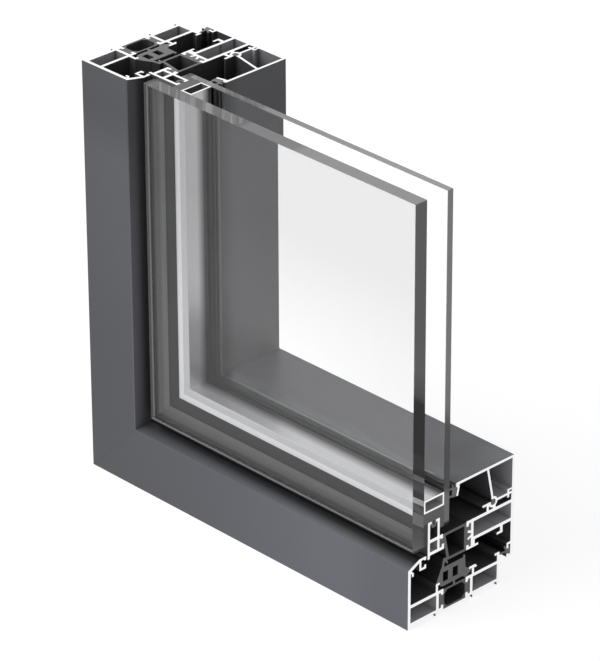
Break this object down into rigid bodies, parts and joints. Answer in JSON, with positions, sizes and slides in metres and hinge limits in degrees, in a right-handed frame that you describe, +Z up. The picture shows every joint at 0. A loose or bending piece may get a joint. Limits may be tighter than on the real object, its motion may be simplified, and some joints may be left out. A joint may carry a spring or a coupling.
{
  "type": "aluminium window corner sample",
  "caption": "Mitred corner of a thermally broken aluminium window, cut open: coated frame and hidden sash profiles, seals, glazing bead and stepped double glazing.",
  "frame": {"origin": "centre of the bounding box's footprint, on the plane that the bottom of the frame stands on", "axes": "+X along the sill from the mitred corner to its cut end, +Y from the exterior face to the room, +Z up along the jamb"},
  "size_m": [0.27, 0.086, 0.27],
  "materials": {
    "coated_profile": "dark grey satin powder coat, bare bright metal on the sawn ends",
    "polyamide": "matt glass-filled polyamide, mid grey when cut",
    "seal_rubber": "matt extruded rubber, mid grey when cut",
    "clip_cord": "matt",
    "spacer_metal": "bright rolled metal",
    "sealant": "matt sealant",
    "bond_tape": "matt dark strip",
    "glass": "clear float glass, ground edges",
    "cleat_metal": "mill finish"
  },
  "bodies": {
    "root": {"sill_frame_exterior": "coated_profile", "jamb_frame_exterior": "coated_profile", "sill_frame_interior": "coated_profile", "jamb_frame_interior": "coated_profile", "sill_frame_break": "polyamide", "jamb_frame_break": "polyamide", "sill_centre_gasket": "seal_rubber", "jamb_centre_gasket": "seal_rubber", "sill_sash_exterior": "coated_profile", "jamb_sash_exterior": "coated_profile", "sill_sash_interior": "coated_profile", "jamb_sash_interior": "coated_profile", "sill_sash_break": "polyamide", "jamb_sash_break": "polyamide", "sill_stop_gasket": "seal_rubber", "jamb_stop_gasket": "seal_rubber", "sill_channel_gasket": "seal_rubber", "jamb_channel_gasket": "seal_rubber", "sill_bead": "coated_profile", "jamb_bead": "coated_profile", "sill_bead_clip": "clip_cord", "jamb_bead_clip": "clip_cord", "sill_bead_gasket": "seal_rubber", "jamb_bead_gasket": "seal_rubber", "sill_spacer": "spacer_metal", "jamb_spacer": "spacer_metal", "sill_edge_seal": "sealant", "jamb_edge_seal": "sealant", "sill_bond_strip": "bond_tape", "jamb_bond_strip": "bond_tape", "outer_pane": "glass", "inner_pane": "glass", "frame_exterior_cleat": "cleat_metal", "frame_interior_cleat": "cleat_metal", "sash_interior_cleat": "cleat_metal"}
  },
  "joints": []
}
